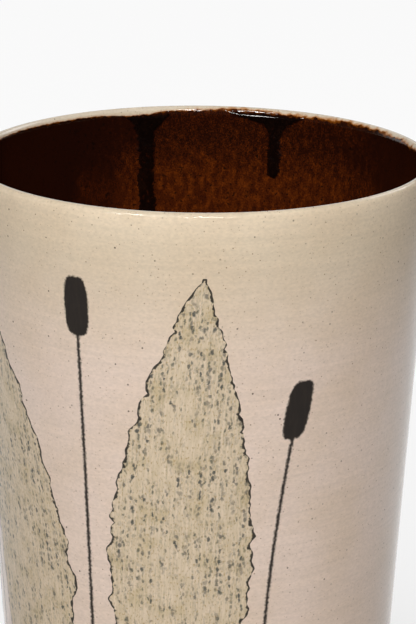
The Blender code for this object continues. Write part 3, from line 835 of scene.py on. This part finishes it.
    # the patch rises from its edge, and a weave shows on it in places about 6 mm wide
    faces = addNode(tree, "GeometryNodeInputMeshEdgeNeighbors")
    border = addNode(tree, "FunctionNodeCompare", [faces, 1], data_type="INT", operation="EQUAL")
    border = addNode(tree, "GeometryNodeSeparateGeometry", [sheet, border], domain="EDGE")
    fromEdge = addNode(tree, "GeometryNodeProximity", {"Geometry": border}, target_element="EDGES")
    fromEdge = fromEdge.outputs["Distance"]
    sink = addNode(tree, "ShaderNodeMath", [given["Sink"], -1.0], operation="MULTIPLY")
    rise = [fromEdge, 0.0, given["Rise"], sink, proud]
    rise = addNode(tree, "ShaderNodeMapRange", rise, **smoothStep)
    threads = addNode(tree, "ShaderNodeMath", [offset, wall], operation="MULTIPLY")
    threadTurn = addNode(tree, "ShaderNodeMath", [math.tau, given["Thread Pitch"]], operation="DIVIDE")
    waves = []
    for distance in (threads, up):
        turn = addNode(tree, "ShaderNodeMath", [distance, threadTurn], operation="MULTIPLY")
        waves.append(addNode(tree, "ShaderNodeMath", [turn], operation="SINE"))
    weave = addNode(tree, "ShaderNodeMath", waves, operation="MULTIPLY")
    patchy = addNode(tree, "ShaderNodeTexNoise", {"Vector": place, "Scale": 160.0, "Detail": 2.0})
    for amount in (patchy, given["Relief"]):
        weave = addNode(tree, "ShaderNodeMath", [weave, amount], operation="MULTIPLY")
    lift = addNode(tree, "ShaderNodeMath", [rise, weave], operation="ADD")

    # what the finishes and the next steps read, in millimetres for the finishes
    cloth = addNode(tree, "ShaderNodeCombineXYZ", [threads, up, None])
    values = {
        "cloth": addNode(tree, "ShaderNodeVectorMath", [cloth, 1 / mm], operation="SCALE"),
        "facing": addNode(tree, "ShaderNodeVectorMath", [outward, given["Facing"]], operation="SCALE"),
        "fromEdge": addNode(tree, "ShaderNodeMath", [fromEdge, 1 / mm], operation="MULTIPLY"),
        "glazeDepth": addNode(tree, "ShaderNodeMath", [rise, 1 / mm], operation="MULTIPLY"),
        "lift": lift,
    }
    for name, value in values.items():
        kind = "FLOAT_VECTOR" if name in ("cloth", "facing") else "FLOAT"
        value = {"Geometry": sheet, "Name": name, "Value": value}
        sheet = addNode(tree, "GeometryNodeStoreNamedAttribute", value, data_type=kind)

    # the sheet goes back into the wall, and a copy of it comes forward to the surface
    facing = addNode(tree, "GeometryNodeInputNamedAttribute", ["facing"], data_type="FLOAT_VECTOR")
    backing = addNode(tree, "ShaderNodeMath", [given["Backing"], -1.0], operation="MULTIPLY")
    back = addNode(tree, "ShaderNodeVectorMath", [facing, backing], operation="SCALE")
    sheet = addNode(tree, "GeometryNodeSetPosition", {"Geometry": sheet, "Offset": back})
    block = {"Mesh": sheet, "Offset Scale": 0.0, "Individual": False}
    block = addNode(tree, "GeometryNodeExtrudeMesh", block)
    lift = addNode(tree, "GeometryNodeInputNamedAttribute", ["lift"], data_type="FLOAT")
    forward = addNode(tree, "ShaderNodeMath", [lift, given["Backing"]], operation="ADD")
    forward = addNode(tree, "ShaderNodeVectorMath", [facing, forward], operation="SCALE")
    front = {"Geometry": block, "Selection": block.outputs["Top"], "Offset": forward}
    front = addNode(tree, "GeometryNodeSetPosition", front)
    behind = addNode(tree, "GeometryNodeFlipFaces", [sheet])
    both = addNode(tree, "GeometryNodeJoinGeometry", [front])
    tree.links.new(behind.outputs[0], both.inputs[0])
    finishForm(tree, both, place, given["Material"])
    return tree


def growPiece(name, guide, tree, values, node):
    # runs a tree on a guide mesh, and keeps the result as a plain mesh
    carrier = bpy.data.objects.new(name + "Guide", guide)
    bpy.context.scene.collection.objects.link(carrier)
    modifier = carrier.modifiers.new(tree.name, "NODES")
    modifier.node_group = tree
    for item in tree.interface.items_tree:
        if item.in_out == "INPUT" and item.name in values:
            modifier[item.identifier] = values[item.name]
    depsgraph = bpy.context.evaluated_depsgraph_get()
    mesh = bpy.data.meshes.new_from_object(carrier.evaluated_get(depsgraph))
    bpy.data.objects.remove(carrier)
    mesh.name = name
    finish = next(material for material in mesh.materials if material)
    mesh.materials.clear()
    mesh.materials.append(finish)
    mesh.set_sharp_from_angle(angle=math.radians(40))
    piece = bpy.data.objects.new(name, mesh)
    bpy.context.scene.collection.objects.link(piece)
    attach(piece, "root")
    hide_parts(node)
    print(name, len(mesh.polygons), "faces")


turnedForm = makeTurnedTree()
wallPatch = makePatchTree()


def turnPiece(name, points, kind, material, node, closed=False):
    mesh = bpy.data.meshes.new("profile")
    mesh.from_pydata([(radius, 0.0, z) for radius, z in points], [], [])
    values = {"Rows": len(points) + closed, "Steps": kind["steps"], "Material": material}
    growPiece(name, mesh, turnedForm, values, node)


def patchPiece(name, rows, kind, seed, material, node):
    mesh = bpy.data.meshes.new("guide")
    mesh.from_pydata([row[:3] for row in rows], [], [])
    for label, place in (("wallRadius", 3), ("proud", 4)):
        layer = mesh.attributes.new(label, "FLOAT", "POINT")
        layer.data.foreach_set("value", [row[place] for row in rows])
    values = dict(kind["nodes"], Rows=len(rows), Columns=kind["columns"], Seed=seed, Material=material)
    growPiece(name, mesh, wallPatch, values, node)


# The thrown clay: one lump, with its wall, floor, lip and foot ring.
clay = {
    "under": 0.00045,  # below the face of either glaze
    "footBevel": 0.0014,
    "ringWidth": 0.0085,
    "ringEdge": 0.0006,
    "flatInsets": (0.0015, 0.0012),  # of the ring's flat face, inside and outside
    "recess": 0.0030,
    "turningPitch": 0.0026,
    "turningDepth": 0.00012,
    "wallStart": 0.0025,
    "recessRows": 96,
    "wallRows": 60,
    "steps": 288,
}


def clayProfile():
    under = clay["under"]
    footRadius = wallRadius(0.0) - under
    ringOuter = footRadius - clay["footBevel"]
    ringInner = ringOuter - clay["ringWidth"]
    recessEdge = ringInner - clay["ringEdge"] * 2
    points = []
    for radius in spread(0.0, recessEdge, clay["recessRows"]):  # with the rings of the turning tool
        ridge = math.cos(math.tau * radius / clay["turningPitch"]) - 1
        points.append((radius, clay["recess"] + clay["turningDepth"] / 2 * ridge))
    points += arcPoints((ringInner + clay["ringEdge"], clay["ringEdge"]), clay["ringEdge"], 180, 270, 6)
    flat = ringInner + clay["flatInsets"][0], ringOuter - clay["flatInsets"][1]
    points += linePoints((flat[0], 0.0), (flat[1], 0.0), 4)
    points += arcPoints((ringOuter, clay["footBevel"]), clay["footBevel"], -90, 0, 10)
    points += [(wallRadius(z) - under, z) for z in spread(clay["wallStart"], lipHeight, clay["wallRows"])]
    points += [lipPoint(turn, -under) for turn in spread(0, 180, 16)[1:-1]]
    corner = vase["floorTop"] + vase["cornerRadius"]
    points += [(insideRadius(z) + under, z) for z in spread(innerLipHeight, corner, clay["wallRows"])]
    cornerCentre = (insideRadius(corner) - vase["cornerRadius"], corner)
    points += arcPoints(cornerCentre, vase["cornerRadius"] + under, 0, -90, 8)[1:]
    low = vase["floorTop"] - under
    points += linePoints((cornerCentre[0] * 0.9, low), (0.0, low), 8)
    return points


# The cream coat: a skin of glaze up the outside and over the lip, with a rolled lower edge.
coat = {
    "thickness": 0.0005,
    "lipEnd": 150.0,  # degrees round the lip from its outer side
    "faceRows": 128,
    "lipSteps": 20,
    "backRows": 24,
    "steps": 480,
}


def creamProfile():
    thickness = coat["thickness"]
    bottom = vase["bareFoot"] + thickness / 2
    turns = spread(0.0, coat["lipEnd"], coat["lipSteps"])
    points = [(wallRadius(z), z) for z in spread(bottom, lipHeight, coat["faceRows"])]
    points += [lipPoint(turn) for turn in turns[1:]]
    points += [lipPoint(turn, -thickness) for turn in reversed(turns)]
    points += [(wallRadius(z) - thickness, z) for z in spread(lipHeight, bottom, coat["backRows"])[1:]]
    points += arcPoints((wallRadius(bottom) - thickness / 2, bottom), thickness / 2, 180, 360, 8)[1:-1]
    return points


# The tenmoku liner: it covers the floor and the wall, and laps over the lip's inner rounding.
liner = {
    "thickness": 0.0006,
    "lap": 0.00004,  # how far it stands over the cream on the lip
    "lapStart": 118.0,  # degrees round the lip from its outer side
    "lapRise": 14.0,  # degrees over which it comes up through the cream
    "lapFade": 0.004,
    "tuck": 0.00003,
    "spiralPitch": 0.0105,
    "spiralDepth": 0.00035,
    "spiralFades": (0.010, 0.004),  # at the corner and in the middle of the floor
    "faceRows": 112,
    "floorRows": 60,
    "backRows": 30,
    "steps": 360,
}


def linerProfile():
    thickness = liner["thickness"]
    corner = vase["floorTop"] + vase["cornerRadius"]
    cornerCentre = (insideRadius(corner) - vase["cornerRadius"], corner)
    low = vase["floorTop"] - thickness
    back = linePoints((0.0, low), (cornerCentre[0] * 0.98, low), 10)
    back += arcPoints(cornerCentre, vase["cornerRadius"] + thickness, -90, 0, 8)[1:]
    back += [(insideRadius(z) + thickness, z) for z in spread(corner, innerLipHeight, liner["backRows"])[1:]]
    back += [lipPoint(turn, -thickness / 2) for turn in spread(170.0, liner["lapStart"], 8)[:-1]]
    face = [lipPoint(liner["lapStart"], -liner["tuck"])]
    for turn in spread(liner["lapStart"] + 2, 180.0, 24):
        share = min((turn - liner["lapStart"]) / liner["lapRise"], 1.0)
        face.append(lipPoint(turn, liner["lap"] * share - liner["tuck"] * (1 - share)))
    for z in spread(innerLipHeight, corner, liner["faceRows"])[1:]:
        proud = liner["lap"] * max(1 - (innerLipHeight - z) / liner["lapFade"], 0.0)
        face.append((insideRadius(z) - proud, z))
    face += arcPoints(cornerCentre, vase["cornerRadius"], 0, -90, 12)[1:]
    outer, middle = liner["spiralFades"]
    for radius in spread(cornerCentre[0] * 0.985, 0.0, liner["floorRows"]):
        ridge = (math.cos(math.tau * radius / liner["spiralPitch"]) - 1) / 2
        fall = min(1.0, (cornerCentre[0] - radius) / outer, radius / middle + 0.2)
        face.append((radius, vase["floorTop"] + liner["spiralDepth"] * ridge * fall))
    return back + face


# The leaves of slip, each let into the cream, from the first one round towards -X.
leaves = {
    "firstAngle": -6.0,
    "spacing": 8.5,
    "base": 0.024,
    "shapes": [  # depth of the tip below the rim, half width and lean of the tip in degrees
        (0.022, 18.8, 7.0),
        (0.054, 18.0, -8.0),
        (0.034, 18.6, -4.0),
        (0.074, 17.6, -7.5),
        (0.120, 14.0, -3.0),
    ],
    "widest": 0.42,
    "fullness": 0.85,
    "endHalfWidth": 0.0011,
    "proud": 0.00008,
    "rowPitch": 0.00055,
    "columns": 92,
    "nodes": {
        "Facing": 1.0,
        "Rise": 0.0006,
        "Sink": 0.00005,
        "Backing": 0.0004,
        "Torn Depth": 0.0014,
        "Torn Length": 0.0120,
        "Wobble": 0.0012,
        "Wobble Size": 0.0050,
        "Relief": 0.00003,
        "Thread Pitch": 0.00205,
    },
}


def leafAngles():
    angles = [leaves["firstAngle"]]
    halfWidths = [halfWidth for _, halfWidth, _ in leaves["shapes"]]
    for before, after in zip(halfWidths, halfWidths[1:]):
        angles.append(angles[-1] - before - leaves["spacing"] - after)
    return angles


def leafRows(angle, shape):
    tipDepth, halfWidth, lean = shape
    length = vase["height"] - tipDepth - leaves["base"]
    power = math.log(0.5) / math.log(leaves["widest"])
    rows = []
    for share in spread(0.0, 1.0, round(length / leaves["rowPitch"])):
        z = leaves["base"] + length * share
        swell = max(math.sin(math.pi * share**power), 0.0) ** leaves["fullness"]
        half = max(math.radians(halfWidth) * swell, leaves["endHalfWidth"] / wallRadius(z))
        middle = math.radians(angle + lean * share**2)
        rows.append((middle, half, z, wallRadius(z), leaves["proud"]))
    return rows


# The black reeds: a thin stem and a seed head, one beside the first leaf and then one between each
# pair. A margin round each carries on the cream, so that the black can fade into it.
reeds = {
    "base": 0.034,
    "shapes": [(0.061, 9.0), (0.025, -1.0), (0.047, -4.0), (0.055, -3.0)],  # depth of the top, lean
    "stemHalfWidth": 0.0006,
    "headLength": 0.021,
    "headHalfWidth": 0.0047,
    "headSquareness": 3.0,  # 2 is an ellipse
    "margin": 0.0007,
    "proud": 0.00002,
    "stemPitch": 0.0008,
    "headRows": 56,
    "columns": 25,
    "nodes": {
        "Facing": 1.0,
        "Rise": 0.00002,
        "Sink": 0.0,
        "Backing": 0.0004,
        "Torn Depth": 0.0,
        "Torn Length": 0.003,
        "Wobble": 0.0,
        "Wobble Size": 0.004,
        "Relief": 0.0,
        "Thread Pitch": 0.002,
    },
}


def reedAngles():
    angles = leafAngles()
    first = angles[0] + leaves["shapes"][0][1] + leaves["spacing"] / 2
    gaps = zip(angles, leaves["shapes"])
    return [first] + [angle - shape[1] - leaves["spacing"] / 2 for angle, shape in gaps]


def reedRows(angle, shape):
    topDepth, lean = shape
    top = vase["height"] - topDepth
    margin = reeds["margin"]
    headStart = top - reeds["headLength"]
    stemRows = round((headStart - reeds["base"]) / reeds["stemPitch"])
    places = [(z, reeds["stemHalfWidth"]) for z in spread(reeds["base"] - margin, headStart, stemRows)[:-1]]
    power = 2 / reeds["headSquareness"]
    for turn in spread(0.0, math.pi, reeds["headRows"]):
        rise = -math.copysign(abs(math.cos(turn)) ** power, math.cos(turn))
        half = reeds["headHalfWidth"] * max(math.sin(turn), 0.0) ** power
        z = top - reeds["headLength"] / 2 + (reeds["headLength"] / 2 + margin) * rise
        places.append((z, max(half, reeds["stemHalfWidth"])))
    rows = []
    for z, half in places:
        share = (z - reeds["base"]) / (top - reeds["base"])
        middle = math.radians(angle + lean * share**2)
        rows.append((middle, (half + margin) / wallRadius(z), z, wallRadius(z), reeds["proud"]))
    return rows


# The runs of tenmoku down the inside: each hangs from a pool under the lip as a low, round bead.
runs = {
    "shapes": {
        "glazeRunLong": {
            "node": "glaze_run_long",
            "angle": 196.0,
            "top": 0.2280,
            "length": 0.072,  # below the lip's rounding
            "halfWidth": 0.0044,
            "poolTurn": -0.8,  # degrees that the pool lies further round
            "poolHalfWidth": 0.0104,
            "poolDepth": 0.0052,
            "seed": 3.0,
        },
        "glazeRunShort": {
            "node": "glaze_run_short",
            "angle": 158.4,
            "top": 0.2288,
            "length": 0.026,
            "halfWidth": 0.0036,
            "poolTurn": 2.6,
            "poolHalfWidth": 0.0165,
            "poolDepth": 0.0040,
            "seed": 8.0,
        },
    },
    "proud": 0.00055,
    "poolProud": 0.00070,
    "endProud": 0.00080,
    "bulbRise": 0.004,  # from the run's end up to the thickest place
    "bulbLength": 0.005,
    "rowPitch": 0.0004,
    "columns": 41,
    "nodes": {
        "Facing": -1.0,
        "Rise": 0.0021,
        "Sink": 0.00006,
        "Backing": 0.0003,
        "Torn Depth": 0.00040,
        "Torn Length": 0.009,
        "Wobble": 0.0050,
        "Wobble Size": 0.006,
        "Relief": 0.0,
        "Thread Pitch": 0.002,
    },
}


def runRows(shape):
    top, end, halfWidth = shape["top"], lipHeight - shape["length"], shape["halfWidth"]
    rows = []
    for z in spread(top, end, round((top - end) / runs["rowPitch"])):
        pool = math.exp(-((max(lipHeight - z, 0.0) / shape["poolDepth"]) ** 2))
        half = halfWidth + (shape["poolHalfWidth"] - halfWidth) * pool
        left = (z - end) / halfWidth
        if left < 1:  # a round end
            half *= math.sqrt(max(1 - (1 - left) ** 2, 0.02))
        bulb = math.exp(-(((z - end - runs["bulbRise"]) / runs["bulbLength"]) ** 2))
        proud = runs["proud"] + (runs["poolProud"] - runs["proud"]) * pool
        proud += (runs["endProud"] - runs["proud"]) * bulb
        middle = math.radians(shape["angle"] + shape["poolTurn"] * pool)
        rows.append((middle, half / insideRadius(z), z, insideRadius(z), proud))
    return rows


speckledCream = makeCreamGlaze()
linerTenmoku = makeTenmoku("tenmokuGlaze")
runTenmoku = makeTenmoku("thickTenmokuGlaze")
pressedSlip = makeClothSlip()
brushedOxide = makeBlackOxide(reeds["margin"] / mm)
stoneware = makeBareStoneware()
print("finishes made")

turnPiece("clayBody", clayProfile(), clay, stoneware, "clay_body")
turnPiece("creamCoat", creamProfile(), coat, speckledCream, "outer_glaze", closed=True)
turnPiece("tenmokuLiner", linerProfile(), liner, linerTenmoku, "liner_glaze")
for name, shape in runs["shapes"].items():
    patchPiece(name, runRows(shape), runs, shape["seed"], runTenmoku, shape["node"])
for order, (angle, shape) in enumerate(zip(leafAngles(), leaves["shapes"]), start=1):
    name, node = f"slipLeaf{order}", f"slip_leaf_{order}"
    patchPiece(name, leafRows(angle, shape), leaves, 11.0 * order, pressedSlip, node)
for order, (angle, shape) in enumerate(zip(reedAngles(), reeds["shapes"]), start=1):
    name, node = f"blackReed{order}", f"black_reed_{order}"
    patchPiece(name, reedRows(angle, shape), reeds, 7.0 * order, brushedOxide, node)
print("pieces made")


# The studio: a pale floor that sweeps up behind. The key panel at the front left lights the vase,
# and the glint panel beside it is what the gloss shows in its place. A small panel near the camera
# and one behind at the right do both.
studio = {
    "floor": "#D6D0CA",
    "floorHalfWidth": 3.5,
    "floorFront": -3.0,
    "sweepFrom": 2.6,
    "sweepRadius": 1.0,
    "sweepHeight": 3.5,
    "paper": "#FAFAFA",
    "background": "#F8F8F8",
    "whites": [  # distance from the vase, and how far the camera sees plain white there
        (0.08, 0.45),
        (0.135, 0.80),
        (0.40, 0.90),
        (0.90, 0.935),
    ],
    "mirroredFloor": {  # how white the gloss sees the floor: from, to, and the values there
        "Y": (-0.15, 0.15, 0.05, 0.88),
        "X": (0.35, 0.70, 1.0, 0.15),  # to either side
    },
    "mirroredAir": {  # and the background, by its direction
        "X": (0.3, 0.55, 1.0, 0.15),
        "Y": (0.25, 0.6, 0.03, 0.94),
        "Z": (0.10, 0.50, 1.0, 0.07),
    },
    "fill": "#F1ECE6",
    "fillSide": 0.035,
    "fillTop": 0.14,
    "lamps": {  # place, aim, width and height, watts, colour, whether it lights and shows in gloss
        "keyPanel": ((-0.42, -1.42, 1.20), (0.0, 0.0, 0.16), (0.30, 0.36), 17.8, "#FFFDFA", (True, False)),
        "glintPanel": ((-0.83, -1.23, 1.20), (0.0, 0.0, 0.16), (0.40, 0.16), 12.0, "#FFFDFA", (False, True)),
        "smallPanel": ((0.15, -1.48, 1.20), (0.0, 0.0, 0.16), (0.22, 0.16), 9.0, "#FFFDFA", (True, True)),
        "backPanel": ((0.80, 0.95, 1.15), (0.0, 0.0, 0.14), (0.50, 0.50), 2.6, "#F8F8FF", (True, True)),
    },
}


def makeSweep():
    profile = [(studio["floorFront"], 0.0), (studio["sweepFrom"], 0.0)]
    centre = (studio["sweepFrom"], studio["sweepRadius"])
    profile += arcPoints(centre, studio["sweepRadius"], -90, 0, 24)[1:]
    profile.append((studio["sweepFrom"] + studio["sweepRadius"], studio["sweepHeight"]))
    points = [(x, y, z) for y, z in profile for x in (-studio["floorHalfWidth"], studio["floorHalfWidth"])]
    faces = [(2 * i, 2 * i + 1, 2 * i + 3, 2 * i + 2) for i in range(len(profile) - 1)]
    mesh = bpy.data.meshes.new("paperSweep")
    mesh.from_pydata(points, [], faces)
    mesh.shade_smooth()
    material, tree = newMaterial("mattPaper")
    path = addNode(tree, "ShaderNodeLightPath")
    place = addNode(tree, "ShaderNodeTexCoord").outputs["Object"]
    away = addNode(tree, "ShaderNodeVectorMath", [place], operation="LENGTH").outputs["Value"]
    seen = [addCurve(tree, away, studio["whites"]), path.outputs["Is Camera Ray"]]
    seen = addNode(tree, "ShaderNodeMath", seen, operation="MULTIPLY")
    parts = addNode(tree, "ShaderNodeSeparateXYZ", [place])
    behind = [parts.outputs["Y"], *studio["mirroredFloor"]["Y"]]
    behind = addNode(tree, "ShaderNodeMapRange", behind, **smoothStep)
    beside = addNode(tree, "ShaderNodeMath", [parts.outputs["X"]], operation="ABSOLUTE")
    beside = addNode(tree, "ShaderNodeMapRange", [beside, *studio["mirroredFloor"]["X"]], **smoothStep)
    inGloss = [path.outputs["Is Glossy Ray"], path.outputs["Is Transmission Ray"]]
    mirrored = addNode(tree, "ShaderNodeMath", inGloss, operation="MAXIMUM")
    for share in (behind, beside):
        mirrored = addNode(tree, "ShaderNodeMath", [mirrored, share], operation="MULTIPLY")
    share = addNode(tree, "ShaderNodeMath", [seen, mirrored], operation="MAXIMUM")
    colour = [path.outputs["Is Camera Ray"], studio["floor"], studio["paper"]]
    colour = addNode(tree, "ShaderNodeMix", colour, **colourMix)
    paper = addNode(tree, "ShaderNodeBsdfDiffuse", {"Color": colour})
    white = addNode(tree, "ShaderNodeEmission", {"Color": "#FFFFFF", "Strength": 1.0})
    both = addNode(tree, "ShaderNodeMixShader", [share, paper, white])
    addNode(tree, "ShaderNodeOutputMaterial", {"Surface": both})
    mesh.materials.append(material)
    sweep = bpy.data.objects.new("paperSweep", mesh)
    bpy.context.scene.collection.objects.link(sweep)


def makeWorld():
    world = bpy.data.worlds.new("studioAir")
    bpy.context.scene.world = world
    world.use_nodes = True
    tree = world.node_tree
    tree.nodes.clear()
    path = addNode(tree, "ShaderNodeLightPath")
    direction = addNode(tree, "ShaderNodeTexCoord").outputs["Generated"]
    direction = addNode(tree, "ShaderNodeSeparateXYZ", [direction])
    above = [direction.outputs["Z"], 0.0, 1.0, studio["fillSide"], studio["fillTop"]]
    above = addNode(tree, "ShaderNodeMapRange", above, **smoothStep)
    white = 1.0
    for axis, values in studio["mirroredAir"].items():
        share = addNode(tree, "ShaderNodeMapRange", [direction.outputs[axis], *values], **smoothStep)
        white = addNode(tree, "ShaderNodeMath", [share, white], operation="MULTIPLY")
    fill = addNode(tree, "ShaderNodeBackground", [studio["fill"], above])
    mirrored = addNode(tree, "ShaderNodeBackground", [studio["background"], white])
    seen = addNode(tree, "ShaderNodeBackground", [studio["background"], 1.0])
    bright = addNode(tree, "ShaderNodeMixShader", [path.outputs["Is Glossy Ray"], fill, mirrored])
    bright = addNode(tree, "ShaderNodeMixShader", [path.outputs["Is Camera Ray"], bright, seen])
    addNode(tree, "ShaderNodeOutputWorld", {"Surface": bright})


def makeLamps():
    for name, (place, aim, size, watts, colour, shows) in studio["lamps"].items():
        light = bpy.data.lights.new(name, "AREA")
        light.shape = "RECTANGLE"
        light.size, light.size_y = size
        light.energy = watts
        light.color = hexColour(colour)[:3]
        lamp = bpy.data.objects.new(name, light)
        lamp.location = place
        lamp.rotation_euler = (Vector(aim) - Vector(place)).to_track_quat("-Z", "Y").to_euler()
        lamp.visible_camera = False
        lamp.visible_diffuse, lamp.visible_glossy = shows
        bpy.context.scene.collection.objects.link(lamp)


# The camera, fitted to the photograph: a 120 mm lens on a frame 36 mm high.
view = {
    "place": (0.0, -0.73639, 0.40591),
    "turn": 0.2464,  # degrees to the right, down, and clockwise of the picture
    "tilt": 17.79,
    "roll": 0.4756,
    "lens": 120.0,
    "frameHeight": 36.0,
}


def makeCamera():
    lens = bpy.data.cameras.new("camera")
    lens.lens = view["lens"]
    lens.sensor_width = view["frameHeight"]
    camera = bpy.data.objects.new("camera", lens)
    turn = Matrix.Rotation(math.radians(-view["turn"]), 4, "Z")
    tilt = Matrix.Rotation(math.radians(90 - view["tilt"]), 4, "X")
    roll = Matrix.Rotation(math.radians(view["roll"]), 4, "Z")
    camera.matrix_world = Matrix.Translation(view["place"]) @ turn @ tilt @ roll
    bpy.context.scene.collection.objects.link(camera)
    bpy.context.scene.camera = camera


makeSweep()
makeWorld()
makeLamps()
makeCamera()
bpy.context.scene.view_settings.view_transform = "Standard"
print("studio made")
